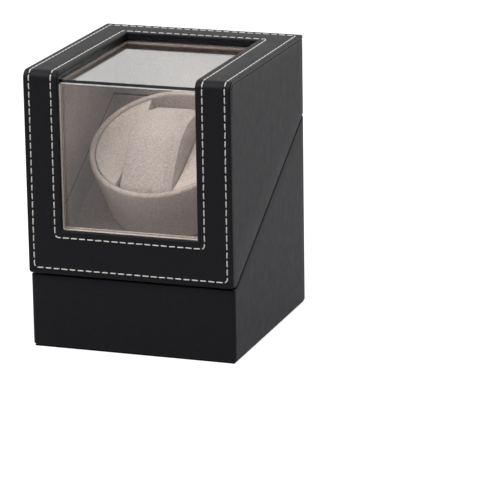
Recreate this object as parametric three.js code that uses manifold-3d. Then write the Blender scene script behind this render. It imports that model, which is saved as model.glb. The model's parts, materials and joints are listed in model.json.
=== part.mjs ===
// Single watch winder box. Millimetres, +Z up, the window faces -Y.
// Origin: centre of the footprint, on the surface that the box stands on.
import * as THREE from "three";
import { mergeVertices } from "three/addons/utils/BufferGeometryUtils.js";
import Module from "manifold-3d";

// Outside of the box
const WIDTH = 125;
const DEPTH = 130;
const HEIGHT = 165;
const BOARD = 4.5;
const GAP = 0.3;

// The parting plane between base and lid climbs towards the hinge
const TILT = Math.PI / 6;
const SPLIT_HEIGHT = 80;
const SPLIT_GAP = 1;
const BASE_FRONT_HEIGHT = 44;
const LID_FRONT_HEIGHT = 45.3;

// Stitched facing that wraps the front and the top
const FACING = 1.9;
const FACING_BEND = 5;
const CORNER = 2.2;
const WINDOW_HALF = 41.4;
const WINDOW_BOTTOM = 71.8;
const WINDOW_BACK = 43.4;

// Clear panes and the boards that hold them
const PANE = 2;
const PANE_LAP = 3.5;
const FRONT_BOARD = 2;
const TOP_BOARD = 2.5;
const RETAINER_LIP = 1.5;
const SILL_RISE = 0.8;

// Inner lining
const LINING = 1.5;
const LIP_RISE = 7.5;
const LIP_CLEARANCE = 0.6;
const DECK = 3;
const DECK_DROP = 13;
const FELT = 0.8;

// Turntable, measured along its own axis from the parting plane
const AXIS_Y = 9;
const RIM_RADIUS = 44.7;
const RIM_HEIGHT = 31.5;
const CUP_BOTTOM = -9;
const CUP_BOTTOM_RADIUS = 41;
const CUP_WALL = 3;
const SHAFT_RADIUS = 3;
const SHAFT_END = -26;

// Watch cushion, pushed against the front of the cup, and the padded boards on either side of it
const PILLOW_LEFT = -18.6;
const PILLOW_RIGHT = 16.2;
const PILLOW_FRONT_REACH = 40;
const PILLOW_REAR_REACH = 33;
const PILLOW_CREST = 43.6;
const PILLOW_SHOULDER = 27;
const PILLOW_FRONT_FULLNESS = 1.1;
const PILLOW_REAR_FULLNESS = 0.8;
const SEAT = 0.5;
const INSERT_UNDERSIDE = 20;

// Reduction gear under the deck
const MODULE = 0.9;
const GEAR_TEETH = 42;
const PINION_TEETH = 14;
const PRESSURE_ANGLE = (25 * Math.PI) / 180;
const BACKLASH = 0.3;
const GEAR_TOP = -19.3;
const GEAR_FACE = 3.7;
const GEARBOX_RADIUS = 10;
const GEARBOX_LENGTH = 9;
const MOTOR_RADIUS = 8;
const MOTOR_LENGTH = 18;
const BRACKET_TOP = -28.3;
const SHEET_METAL = 1.5;
const SEAT_SINK = 2;

// Fittings on the back
const FITTING_HEIGHT = 22;
const JACK_X = -28;
const SWITCH_X = 28;
const HINGE_X = 35;
const HINGE_WIDTH = 24;
const KNUCKLE_RADIUS = 1.9;
const PIN_RADIUS = 0.75;
const PIN_BORE = 1.05;
const LEAF = 0.8;
const SCREW_RADIUS = 0.9;
const PILOT_RADIUS = 1.2;

// Derived planes
const SIDE = WIDTH / 2;
const BACK = DEPTH / 2;
const SIDE_IN = SIDE - BOARD;
const BACK_IN = BACK - BOARD;
const FITTED = SIDE_IN - GAP;
const WALL_FOOT = FELT + GAP;
const WALL_TOP = HEIGHT - FACING - GAP;
const BOARD_UNDERSIDE = WALL_TOP - TOP_BOARD;
const TOP_PANE_TOP = BOARD_UNDERSIDE - GAP;
const FRONT_PANE_TOP = TOP_PANE_TOP - PANE - GAP;
const PANE_FRONT = -BACK + FRONT_BOARD + GAP;
const RETAINER_BACK = PANE_FRONT + PANE + GAP + RETAINER_LIP;
const SLOPE = Math.tan(TILT);
const HINGE_Y = BACK + FACING + GAP - KNUCKLE_RADIUS;
const HINGE_Z = SPLIT_HEIGHT + SLOPE * HINGE_Y - 0.1;
const AXIS_Z = SPLIT_HEIGHT + SLOPE * AXIS_Y;
const GEAR_CENTRES = (MODULE * (GEAR_TEETH + PINION_TEETH)) / 2;

const wasm = await Module();
wasm.setup();

const finish = (color, roughness, metalness = 0, extra = {}) =>
  new THREE.MeshStandardMaterial({ color, roughness, metalness, ...extra });

const LEATHER = finish(0x1f2024, 0.55);
const VELVET = finish(0xc9b8b0, 0.95);
const FELT_BLACK = finish(0x141414, 1);
const ACRYLIC = finish(0xdfe6e4, 0.05, 0, { transparent: true, opacity: 0.25 });
const STEEL = finish(0xb9bcc0, 0.3, 1);
const NICKEL = finish(0xc8c6c0, 0.25, 1);
const NYLON = finish(0xe8e4d8, 0.5);
const BLACK_PLASTIC = finish(0x18181a, 0.45);
const BRASS = finish(0xc9a24e, 0.3, 1);
const BOARD_GREEN = finish(0x1c5a34, 0.5);
const RED_WIRE = finish(0xb01818, 0.45);
const BLACK_WIRE = finish(0x101010, 0.45);

// ---- solids: geometry in and out of manifold-3d, only for joining and cutting

function solid(geometry) {
  const bare = geometry.clone();
  bare.deleteAttribute("normal");
  bare.deleteAttribute("uv");
  const merged = mergeVertices(bare, 1e-5);
  return new wasm.Manifold(new wasm.Mesh({
    numProp: 3,
    vertProperties: new Float32Array(merged.attributes.position.array),
    triVerts: new Uint32Array(merged.index.array),
  }));
}

function geometryOf(manifold) {
  const mesh = manifold.getMesh();
  const geometry = new THREE.BufferGeometry();
  geometry.setAttribute("position", new THREE.BufferAttribute(mesh.vertProperties, 3));
  geometry.setIndex(new THREE.BufferAttribute(mesh.triVerts, 1));
  geometry.computeVertexNormals();
  return geometry;
}

function cut(geometry, ...tools) {
  return geometryOf(tools.reduce((body, tool) => body.subtract(solid(tool)), solid(geometry)));
}

function common(geometry, other) {
  return geometryOf(solid(geometry).intersect(solid(other)));
}

function join(geometry, ...others) {
  return geometryOf(others.reduce((body, other) => body.add(solid(other)), solid(geometry)));
}

// ---- shapes

function box(x0, x1, y0, y1, z0, z1) {
  const geometry = new THREE.BoxGeometry(x1 - x0, y1 - y0, z1 - z0);
  return geometry.translate((x0 + x1) / 2, (y0 + y1) / 2, (z0 + z1) / 2);
}

// A cylinder along Z between two heights
function rod(radius, z0, z1, x = 0, y = 0, sides = 24) {
  const geometry = new THREE.CylinderGeometry(radius, radius, z1 - z0, sides);
  return geometry.rotateX(Math.PI / 2).translate(x, y, (z0 + z1) / 2);
}

// A cylinder along X
function rodX(radius, x0, x1, y, z, sides = 20) {
  const geometry = new THREE.CylinderGeometry(radius, radius, x1 - x0, sides);
  return geometry.rotateZ(Math.PI / 2).translate((x0 + x1) / 2, y, z);
}

// A cylinder along Y
function rodY(radius, y0, y1, x, z, sides = 20) {
  return new THREE.CylinderGeometry(radius, radius, y1 - y0, sides).translate(x, (y0 + y1) / 2, z);
}

// A solid of revolution about Z from [radius, height] points
function turned(points, sides = 48) {
  const profile = points.map(([r, z]) => new THREE.Vector2(r, z));
  return new THREE.LatheGeometry(profile, sides).rotateX(Math.PI / 2);
}

// A profile in the Y-Z plane, extruded along X
function slab(x0, x1, profile, curveSegments = 6) {
  const shape = profile instanceof THREE.Shape
    ? profile
    : new THREE.Shape(profile.map(([y, z]) => new THREE.Vector2(y, z)));
  const geometry = new THREE.ExtrudeGeometry(shape, {
    depth: x1 - x0, bevelEnabled: false, curveSegments,
  });
  const toWorld = new THREE.Matrix4().makeBasis(
    new THREE.Vector3(0, 1, 0), new THREE.Vector3(0, 0, 1), new THREE.Vector3(1, 0, 0));
  return geometry.applyMatrix4(toWorld).translate(x0, 0, 0);
}

// Height at depth y of the plane that lies `lift` from the parting plane, along its normal
const plane = (y, lift) => SPLIT_HEIGHT + SLOPE * y + lift / Math.cos(TILT);

// Where that plane is at height z
const planeY = (z, lift) => (z - SPLIT_HEIGHT - lift / Math.cos(TILT)) / SLOPE;

// ---- assembly

const winder = new THREE.Group();
const drum = new THREE.Group();
drum.position.set(0, AXIS_Y, AXIS_Z);
drum.rotation.x = TILT;
winder.add(drum);

function add(name, geometry, material, parent = winder) {
  const mesh = new THREE.Mesh(geometry, material);
  mesh.name = name;
  parent.add(mesh);
}

// Both sides of the box, named from the front
const SIDES = [["left", -1], ["right", 1]];

function span(sign, inner, outer) {
  return sign < 0 ? [-outer, -inner] : [inner, outer];
}

// ---- base: leather-wrapped boards

function baseWalls() {
  const half = -SPLIT_GAP / 2;
  const sideProfile = [
    [-BACK, WALL_FOOT], [BACK, WALL_FOOT], [BACK, plane(BACK, half)],
    [planeY(BASE_FRONT_HEIGHT, half), BASE_FRONT_HEIGHT], [-BACK, BASE_FRONT_HEIGHT],
  ];
  for (const [side, sign] of SIDES) {
    add(`base_${side}_wall`, slab(...span(sign, SIDE_IN, SIDE), sideProfile), LEATHER);
  }
  add("base_front_wall",
    box(-FITTED, FITTED, -BACK, -BACK_IN, WALL_FOOT, BASE_FRONT_HEIGHT), LEATHER);

  // The hinge barrels lie in a groove along the top edge of the back wall
  const groove = 2.2;
  const backProfile = [
    [BACK_IN, WALL_FOOT], [BACK, WALL_FOOT], [BACK, plane(BACK, half) - groove],
    [BACK - groove, plane(BACK - groove, half)], [BACK_IN, plane(BACK_IN, half)],
  ];
  const openings = [
    rodY(4.3, BACK_IN - 1, BACK + 1, JACK_X, FITTING_HEIGHT, 24),
    box(SWITCH_X - 7.3, SWITCH_X + 7.3, BACK_IN - 1, BACK + 1,
      FITTING_HEIGHT - 3.8, FITTING_HEIGHT + 3.8),
    ...pilotHoles(-1),
  ];
  add("base_back_wall", cut(slab(-FITTED, FITTED, backProfile), ...openings), LEATHER);
  add("bottom_panel", box(-FITTED, FITTED, -BACK_IN + GAP, BACK_IN - GAP, WALL_FOOT, 5.1), LEATHER);
  add("bottom_felt", box(-SIDE + 1, SIDE - 1, -BACK + 1, BACK - 1, 0, FELT), FELT_BLACK);
}

// ---- base: sloping deck and the lining that stands up inside the lid

function deckAndLips() {
  const y0 = -BACK_IN + GAP;
  const y1 = BACK_IN - GAP;
  const deck = slab(-FITTED, FITTED, [
    [y0, plane(y0, -DECK_DROP - DECK)], [y1, plane(y1, -DECK_DROP - DECK)],
    [y1, plane(y1, -DECK_DROP)], [y0, plane(y0, -DECK_DROP)],
  ]);
  const place = new THREE.Matrix4().makeRotationX(TILT).setPosition(0, AXIS_Y, AXIS_Z);
  const bore = rod(6, -20, 0).applyMatrix4(place);
  const pilots = [-1, 1].map((sign) =>
    rod(1.8, -18, -DECK_DROP - DECK + SEAT_SINK, 28, sign * 19.5, 16).applyMatrix4(place));
  add("deck_panel", cut(deck, bore, ...pilots), VELVET);

  const foot = -DECK_DROP + GAP;
  const lipFront = -BACK_IN + GAP + LINING + GAP;
  const lipBack = BACK_IN - LIP_CLEARANCE;
  for (const [side, sign] of SIDES) {
    const profile = [
      [lipFront, plane(lipFront, foot)], [lipBack, plane(lipBack, foot)],
      [lipBack, plane(lipBack, LIP_RISE)], [lipFront, plane(lipFront, LIP_RISE)],
    ];
    add(`base_lip_${side}`, slab(...span(sign, FITTED - LINING, FITTED), profile), VELVET);
  }
  const innerHalf = FITTED - LINING - GAP;
  add("base_lip_front", box(-FITTED, FITTED, y0, y0 + LINING,
    plane(y0 + LINING, foot) + GAP, BASE_FRONT_HEIGHT + LIP_RISE), VELVET);
  add("base_lip_back", box(-innerHalf, innerHalf, lipBack - LINING, lipBack,
    plane(lipBack, foot) + GAP, plane(lipBack - LINING, LIP_RISE)), VELVET);
}

// ---- lid: boards, stitched facing, panes and lining

function lidShell() {
  const half = SPLIT_GAP / 2;
  const sideProfile = [
    [-BACK, LID_FRONT_HEIGHT], [planeY(LID_FRONT_HEIGHT, half), LID_FRONT_HEIGHT],
    [BACK, plane(BACK, half)], [BACK, WALL_TOP],
    [-BACK + CORNER, WALL_TOP], [-BACK, WALL_TOP - CORNER],
  ];
  for (const [side, sign] of SIDES) {
    add(`lid_${side}_wall`, slab(...span(sign, SIDE_IN, SIDE), sideProfile), LEATHER);
  }
  const backProfile = [
    [BACK_IN, plane(BACK_IN, half)], [BACK - 3, plane(BACK - 3, half)],
    [BACK - 2.4, HINGE_Z + 1], [BACK, HINGE_Z + 2.7],
    [BACK, BOARD_UNDERSIDE - GAP], [BACK_IN, BOARD_UNDERSIDE - GAP],
  ];
  add("lid_back_wall", cut(slab(-FITTED, FITTED, backProfile), ...pilotHoles(1)), LEATHER);

  const window = box(-WINDOW_HALF, WINDOW_HALF, -BACK - 9, WINDOW_BACK,
    WINDOW_BOTTOM, HEIGHT + 9);
  add("lid_front_board", cut(
    box(-FITTED, FITTED, -BACK, -BACK + FRONT_BOARD, LID_FRONT_HEIGHT, BOARD_UNDERSIDE - GAP),
    window), LEATHER);
  const topProfile = [
    [-BACK, BOARD_UNDERSIDE], [BACK, BOARD_UNDERSIDE], [BACK, WALL_TOP],
    [-BACK + CORNER, WALL_TOP], [-BACK, WALL_TOP - CORNER],
  ];
  add("lid_top_board", cut(slab(-FITTED, FITTED, topProfile), window), LEATHER);

  const front = -BACK - GAP - FACING;
  const bend = FACING_BEND;
  const inner = bend - FACING;
  const bent = new THREE.Shape();
  bent.moveTo(front, LID_FRONT_HEIGHT);
  bent.lineTo(front + FACING, LID_FRONT_HEIGHT);
  bent.lineTo(front + FACING, HEIGHT - bend);
  bent.absarc(front + bend, HEIGHT - bend, inner, Math.PI, Math.PI / 2, true);
  bent.lineTo(BACK, HEIGHT - FACING);
  bent.lineTo(BACK, HEIGHT);
  bent.lineTo(front + bend, HEIGHT);
  bent.absarc(front + bend, HEIGHT - bend, bend, Math.PI / 2, Math.PI, false);
  add("lid_facing", cut(slab(-SIDE, SIDE, bent, 8), window), LEATHER);
}

function panes() {
  const half = WINDOW_HALF + PANE_LAP;
  add("front_pane", box(-half, half, PANE_FRONT, PANE_FRONT + PANE,
    WINDOW_BOTTOM - PANE_LAP, FRONT_PANE_TOP), ACRYLIC);
  add("top_pane", box(-half, half, PANE_FRONT, WINDOW_BACK + PANE_LAP,
    TOP_PANE_TOP - PANE, TOP_PANE_TOP), ACRYLIC);

  const lipTop = BASE_FRONT_HEIGHT + LIP_RISE + 0.8;
  const lined = FITTED - LINING - GAP;
  const frontSeat = box(-half - GAP, half + GAP, PANE_FRONT - 1, PANE_FRONT + PANE + GAP,
    WINDOW_BOTTOM - PANE_LAP - GAP, HEIGHT);
  const frontLight = box(-WINDOW_HALF, WINDOW_HALF, PANE_FRONT - 1, 0,
    WINDOW_BOTTOM + SILL_RISE, HEIGHT);
  add("front_pane_retainer", cut(
    box(-FITTED, FITTED, PANE_FRONT, RETAINER_BACK, lipTop, FRONT_PANE_TOP),
    frontSeat, frontLight), VELVET);

  const topLip = TOP_PANE_TOP - PANE - GAP;
  const retainerFront = RETAINER_BACK + GAP;
  const retainerBack = BACK_IN - GAP - LINING - GAP;
  const topSeat = box(-half - GAP, half + GAP, -BACK, WINDOW_BACK + PANE_LAP + GAP,
    topLip, HEIGHT);
  const topLight = box(-WINDOW_HALF, WINDOW_HALF, -BACK, WINDOW_BACK, topLip - 9, HEIGHT);
  add("top_pane_retainer", cut(
    box(-lined, lined, retainerFront, retainerBack, topLip - RETAINER_LIP, TOP_PANE_TOP),
    topSeat, topLight), VELVET);
}

function lidLining() {
  const foot = LIP_RISE + 0.8;
  const front = RETAINER_BACK + GAP;
  const back = BACK_IN - GAP;
  const top = BOARD_UNDERSIDE - GAP;
  for (const [side, sign] of SIDES) {
    add(`lid_lining_${side}`, slab(...span(sign, FITTED - LINING, FITTED), [
      [front, plane(front, foot)], [back, plane(back, foot)], [back, top], [front, top],
    ]), VELVET);
  }
  const half = FITTED - LINING - GAP;
  add("lid_lining_back",
    box(-half, half, back - LINING, back, plane(back - LINING, foot) + GAP, top), VELVET);
}

// ---- hinges: one leaf on each half, three knuckles, a pin and two screws a leaf

function screwPlaces(sign) {
  const rows = [];
  for (const hinge of [-1, 1]) {
    for (const end of [-1, 1]) {
      rows.push([hinge * HINGE_X + end * 7.5, HINGE_Z + sign * 7.6]);
    }
  }
  return rows;
}

function pilotHoles(sign) {
  return screwPlaces(sign).map(([x, z]) => rodY(PILOT_RADIUS, BACK - 4, BACK + 1, x, z, 12));
}

function hingeLeaf(centre, sign) {
  const edge = HINGE_WIDTH / 2;
  const middle = HINGE_WIDTH / 6;
  const knuckles = sign > 0
    ? [[centre - middle + GAP / 2, centre + middle - GAP / 2]]
    : [[centre - edge, centre - middle - GAP / 2], [centre + middle + GAP / 2, centre + edge]];
  const inner = BACK + GAP;
  const near = HINGE_Z + sign * (KNUCKLE_RADIUS + GAP + 0.2);
  const far = HINGE_Z + sign * 12;
  const leaf = box(centre - edge, centre + edge, inner, inner + LEAF,
    Math.min(near, far), Math.max(near, far));
  const parts = knuckles.flatMap(([x0, x1]) => [
    rodX(KNUCKLE_RADIUS, x0, x1, HINGE_Y, HINGE_Z),
    box(x0, x1, inner, inner + LEAF, Math.min(HINGE_Z, near + sign), Math.max(HINGE_Z, near + sign)),
  ]);
  const holes = screwPlaces(sign).map(([x, z]) => rodY(PILOT_RADIUS, BACK, BACK + 3, x, z, 12));
  const bore = rodX(PIN_BORE, centre - edge - 1, centre + edge + 1, HINGE_Y, HINGE_Z, 16);
  return cut(join(leaf, ...parts), bore, ...holes);
}

function hinges() {
  for (const [side, sign] of SIDES) {
    const centre = sign * HINGE_X;
    add(`hinge_leaf_base_${side}`, hingeLeaf(centre, -1), NICKEL);
    add(`hinge_leaf_lid_${side}`, hingeLeaf(centre, 1), NICKEL);
    add(`hinge_pin_${side}`,
      rodX(PIN_RADIUS, centre - HINGE_WIDTH / 2, centre + HINGE_WIDTH / 2, HINGE_Y, HINGE_Z, 16),
      STEEL);
  }
  for (const [half, sign] of [["base", -1], ["lid", 1]]) {
    screwPlaces(sign).forEach(([x, z], i) => {
      const head = BACK + GAP + LEAF + GAP;
      const shank = rodY(SCREW_RADIUS, BACK - 3.6, head + 0.2, x, z, 12);
      add(`hinge_screw_${half}_${i + 1}`, join(shank, rodY(1.8, head, head + 0.7, x, z, 16)), NICKEL);
    });
  }
}

// ---- turntable: cup, padded insert, hub, gear and clip

// Inner radius of the cup at a height along its axis
const cupInside = (height) => CUP_BOTTOM_RADIUS - CUP_WALL
  + ((RIM_RADIUS - CUP_BOTTOM_RADIUS) * (height - CUP_BOTTOM)) / (RIM_HEIGHT - CUP_BOTTOM);

function turntable() {
  const floor = CUP_BOTTOM + CUP_WALL;
  const round = 1.5;
  const rim = [0, 0.25, 0.5, 0.75, 1].map((t) => {
    const a = Math.PI * t;
    return [RIM_RADIUS - round + round * Math.cos(a), RIM_HEIGHT - round + round * Math.sin(a)];
  });
  add("drum_cup", turned([
    [0, CUP_BOTTOM], [CUP_BOTTOM_RADIUS - 2, CUP_BOTTOM], [CUP_BOTTOM_RADIUS, CUP_BOTTOM + 2],
    ...rim, [cupInside(floor), floor], [0, floor],
  ]), VELVET, drum);

  const edge = RIM_RADIUS - CUP_WALL - 0.7;
  const insert = turned([
    [0, INSERT_UNDERSIDE], [edge - 1.2, INSERT_UNDERSIDE], [edge, 29.6], [edge - 0.5, 30.3],
    [edge - 2.6, 29.9], [34, 28.9], [26, 28.1], [0, 27.6],
  ], 72);
  const reach = RIM_RADIUS;
  const leftPart = box(-reach, PILLOW_LEFT - SEAT, -reach, reach, 0, reach);
  const rightPart = box(PILLOW_RIGHT + SEAT, reach, -reach, reach, 0, reach);
  add("cup_insert_left", common(insert, leftPart), VELVET, drum);
  add("cup_insert_right", common(insert, rightPart), VELVET, drum);

  const flange = CUP_BOTTOM - GAP;
  add("drum_hub", turned([
    [0, SHAFT_END], [SHAFT_RADIUS, SHAFT_END], [SHAFT_RADIUS, flange - 2],
    [12, flange - 2], [12, flange], [0, flange],
  ], 32), BLACK_PLASTIC, drum);
  add("deck_bush", turned([
    [3.3, -18.5], [5.7, -18.5], [5.7, -12.7], [8, -12.7], [8, -11.8], [3.3, -11.8], [3.3, -18.5],
  ], 32), BRASS, drum);
  add("drum_gear", gear(GEAR_TEETH, 0, SHAFT_RADIUS + GAP), NYLON, drum);
  const clipTop = GEAR_TOP - GEAR_FACE - GAP;
  const ring = turned([
    [3.3, clipTop - 1], [5, clipTop - 1], [5, clipTop], [3.3, clipTop], [3.3, clipTop - 1],
  ], 24);
  add("shaft_clip", cut(ring, box(0, 8, -1.2, 1.2, clipTop - 3, clipTop + 2)), STEEL, drum);
}

function pillow() {
  const foot = CUP_BOTTOM + CUP_WALL + GAP;
  const steps = 32;
  const outline = [[PILLOW_REAR_REACH, foot], [-PILLOW_FRONT_REACH, foot]];
  for (let i = 0; i <= steps; i++) {
    const along = (2 * i) / steps - 1;
    const reach = along < 0 ? PILLOW_FRONT_REACH : PILLOW_REAR_REACH;
    const fullness = along < 0 ? PILLOW_FRONT_FULLNESS : PILLOW_REAR_FULLNESS;
    const swell = Math.max(0, Math.cos((Math.PI / 2) * along)) ** fullness;
    outline.push([reach * along, PILLOW_SHOULDER + (PILLOW_CREST - PILLOW_SHOULDER) * swell]);
  }
  const roll = slab(PILLOW_LEFT, PILLOW_RIGHT, outline);
  const seat = turned([
    [0, foot - 1], [cupInside(foot - 1) - SEAT, foot - 1], [cupInside(50) - SEAT, 50], [0, 50],
  ], 72);
  add("watch_pillow", common(roll, seat), VELVET, drum);
}

// ---- gears: involute flanks, thinned by the backlash, with a bore or a shaft

function gearOutline(teeth, phase) {
  const pitch = (MODULE * teeth) / 2;
  const base = pitch * Math.cos(PRESSURE_ANGLE);
  const tip = pitch + 0.9 * MODULE;
  const root = pitch - 1.2 * MODULE;
  const involute = (angle) => Math.tan(angle) - angle;
  const halfAngle = (r) => {
    const at = Math.acos(Math.min(1, base / Math.max(r, base)));
    return Math.PI / (2 * teeth) - BACKLASH / (2 * pitch) + involute(PRESSURE_ANGLE) - involute(at);
  };
  const flank = [root, Math.max(base, root + 0.1), (pitch + base) / 2 + 0.2, tip];
  const points = [];
  for (let i = 0; i < teeth; i++) {
    const centre = phase + (2 * Math.PI * i) / teeth;
    for (const r of flank) {
      points.push([r, centre - halfAngle(r)]);
    }
    for (const r of [...flank].reverse()) {
      points.push([r, centre + halfAngle(r)]);
    }
  }
  return points.map(([r, a]) => new THREE.Vector2(r * Math.cos(a), r * Math.sin(a)));
}

function gear(teeth, phase, bore = 0) {
  const shape = new THREE.Shape(gearOutline(teeth, phase));
  if (bore) {
    shape.holes.push(new THREE.Path().absarc(0, 0, bore, 0, 2 * Math.PI, true));
  }
  const geometry = new THREE.ExtrudeGeometry(shape, {
    depth: GEAR_FACE, bevelEnabled: false, curveSegments: 12,
  });
  return geometry.translate(0, 0, GEAR_TOP - GEAR_FACE);
}

// ---- motor unit, hung under the deck beside the turntable shaft

function motorUnit() {
  const unit = new THREE.Group();
  unit.position.x = GEAR_CENTRES;
  drum.add(unit);
  const boxTop = BRACKET_TOP - SHEET_METAL - GAP;
  const boxEnd = boxTop - GEARBOX_LENGTH;

  // The drum gear has a tooth on the line of centres, so the pinion has a gap there
  const phase = Math.PI + Math.PI / PINION_TEETH;
  add("motor_pinion", join(gear(PINION_TEETH, phase),
    rod(1.5, boxTop - 5, GEAR_TOP, 0, 0, 16)), BRASS, unit);
  add("gearbox", cut(rod(GEARBOX_RADIUS, boxEnd, boxTop, 0, 0, 32),
    rod(1.9, boxTop - 6, boxTop + 1, 0, 0, 16)), STEEL, unit);
  const canTop = boxEnd - GAP;
  const canEnd = canTop - MOTOR_LENGTH;
  add("motor_can", join(rod(MOTOR_RADIUS, canEnd, canTop, 0, 0, 32),
    rod(2.5, canEnd - 1, canEnd + 1, 0, 0, 16)), STEEL, unit);

  const plate = box(-9, 11, -15.5, 15.5, BRACKET_TOP - SHEET_METAL, BRACKET_TOP);
  const deckUnder = -DECK_DROP - DECK - GAP;
  const wings = [-1, 1].flatMap((sign) => {
    const legs = span(sign, 14, 14 + SHEET_METAL);
    const feet = span(sign, 14, 23.5);
    return [
      box(-4, 11, ...legs, BRACKET_TOP - SHEET_METAL, deckUnder),
      box(-4, 11, ...feet, deckUnder - SHEET_METAL, deckUnder),
    ];
  });
  const screwX = 28 - GEAR_CENTRES;
  const holes = [-1, 1].map((sign) => rod(1.8, deckUnder - 3, deckUnder + 1, screwX, sign * 19.5, 16));
  add("motor_bracket", cut(join(plate, ...wings), rod(3, BRACKET_TOP - 3, BRACKET_TOP + 1, 0, 0, 16),
    ...holes), STEEL, unit);
  [-1, 1].forEach((sign, i) => {
    const head = deckUnder - SHEET_METAL - GAP;
    add(`bracket_screw_${i + 1}`, join(
      rod(1.5, head - 0.5, deckUnder + SEAT_SINK, screwX, sign * 19.5, 12),
      rod(2.8, head - 1.5, head, screwX, sign * 19.5, 16)), STEEL, unit);
  });
}

// ---- electrics: inlet, mode switch and circuit board behind the back wall

function electrics() {
  const z = FITTING_HEIGHT;
  const outside = BACK + GAP;
  const boardBack = 51.7;
  const jack = turned([
    [0, -13.3], [4, -13.3], [4, 0], [5.6, 0], [5.6, 1.3], [2.9, 1.3], [2.9, -8.8],
    [1, -8.8], [1, -0.8], [0, -0.8],
  ], 24).rotateX(-Math.PI / 2).translate(JACK_X, outside, z);
  add("dc_jack", jack, BLACK_PLASTIC);
  add("dc_jack_nut", cut(rodY(6, BACK_IN - GAP - 2.5, BACK_IN - GAP, JACK_X, z, 6),
    rodY(4.3, BACK_IN - 5, BACK_IN + 1, JACK_X, z, 24)), STEEL);

  const bezel = box(SWITCH_X - 9, SWITCH_X + 9, outside, outside + 1.2, z - 5, z + 5);
  const housing = box(SWITCH_X - 7, SWITCH_X + 7, boardBack + GAP, outside + 0.5, z - 3.5, z + 3.5);
  const slot = box(SWITCH_X - 4.8, SWITCH_X + 4.8, BACK - 2, outside + 3, z - 1.8, z + 1.8);
  add("mode_switch_body", cut(join(bezel, housing), slot), BLACK_PLASTIC);
  add("mode_switch_knob", box(SWITCH_X - 1.8, SWITCH_X + 1.8, BACK - 1.7, HINGE_Y + KNUCKLE_RADIUS,
    z - 1.5, z + 1.5), BLACK_PLASTIC);
  add("circuit_board", box(-40, 40, boardBack - 1.6, boardBack, 10, 34), BOARD_GREEN);

  const end = BRACKET_TOP - SHEET_METAL - GAP - GEARBOX_LENGTH - GAP - MOTOR_LENGTH - GAP;
  const inDrum = (x, u, n) => new THREE.Vector3(
    x, AXIS_Y + u * Math.cos(TILT) - n * Math.sin(TILT),
    AXIS_Z + u * Math.sin(TILT) + n * Math.cos(TILT));
  for (const [name, offset, material] of [["red", 5, RED_WIRE], ["black", -5, BLACK_WIRE]]) {
    const x = GEAR_CENTRES + offset;
    const route = new THREE.CatmullRomCurve3([
      inDrum(x, 0, end), inDrum(x, 0, end - 5), new THREE.Vector3(x - 6, 44, 24),
      new THREE.Vector3(x - 9, 47, 20), new THREE.Vector3(x - 9, boardBack - 1.6 - GAP, 20),
    ]);
    const section = new THREE.Shape().absarc(0, 0, 0.7, 0, 2 * Math.PI, false);
    add(`motor_lead_${name}`, new THREE.ExtrudeGeometry(section, {
      extrudePath: route, steps: 24, curveSegments: 4, bevelEnabled: false,
    }), material);
  }
}

baseWalls();
deckAndLips();
lidShell();
panes();
lidLining();
hinges();
turntable();
pillow();
motorUnit();
electrics();

export default winder;
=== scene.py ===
"""Looks of a single watch winder box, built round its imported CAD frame. Metres, +Z up, window at -Y."""

import json
import math
import random

import bmesh
import bpy
import numpy as np
from mathutils import Matrix, Vector, noise
from mathutils.bvhtree import BVHTree


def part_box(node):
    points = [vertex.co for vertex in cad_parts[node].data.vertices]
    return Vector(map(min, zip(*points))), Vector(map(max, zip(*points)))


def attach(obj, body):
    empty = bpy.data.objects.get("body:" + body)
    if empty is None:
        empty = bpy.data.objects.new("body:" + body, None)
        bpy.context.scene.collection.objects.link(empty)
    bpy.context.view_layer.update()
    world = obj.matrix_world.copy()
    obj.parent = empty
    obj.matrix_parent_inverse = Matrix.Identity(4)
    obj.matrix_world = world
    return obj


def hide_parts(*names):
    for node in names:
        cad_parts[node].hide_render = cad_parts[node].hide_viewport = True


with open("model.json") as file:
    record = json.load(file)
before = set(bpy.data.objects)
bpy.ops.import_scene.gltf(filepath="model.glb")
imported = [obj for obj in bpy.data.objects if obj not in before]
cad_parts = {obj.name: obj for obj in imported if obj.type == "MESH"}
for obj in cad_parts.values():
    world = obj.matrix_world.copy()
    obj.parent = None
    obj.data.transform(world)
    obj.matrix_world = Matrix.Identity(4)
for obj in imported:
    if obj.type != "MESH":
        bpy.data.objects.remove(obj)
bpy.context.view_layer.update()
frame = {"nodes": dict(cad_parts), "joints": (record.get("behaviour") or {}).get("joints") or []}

MM = 0.001
SCENE = bpy.context.scene

# ---------------------------------------------------------------- measures from the frame

FACING_LO, FACING_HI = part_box("lid_facing")
SHELL_LO, SHELL_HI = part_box("base_left_wall")
PANE_LO, PANE_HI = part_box("front_pane")
TOP_PANE_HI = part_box("top_pane")[1]
SIDE = FACING_HI.x
BACK = SHELL_HI.y
FOOT = SHELL_LO.z
TOP = FACING_HI.z
FACING_FOOT = FACING_LO.z
FACING_FRONT = FACING_LO.y
BASE_FRONT_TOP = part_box("base_front_wall")[1].z
WALL_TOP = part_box("lid_top_board")[1].z
PANE_LAP = 3.5 * MM
WINDOW_HALF = PANE_HI.x - PANE_LAP
WINDOW_FOOT = PANE_LO.z + PANE_LAP
WINDOW_BACK = TOP_PANE_HI.y - PANE_LAP
BOARD = 4.5 * MM
FACING = 1.9 * MM
FACING_BEND = 5 * MM

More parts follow.
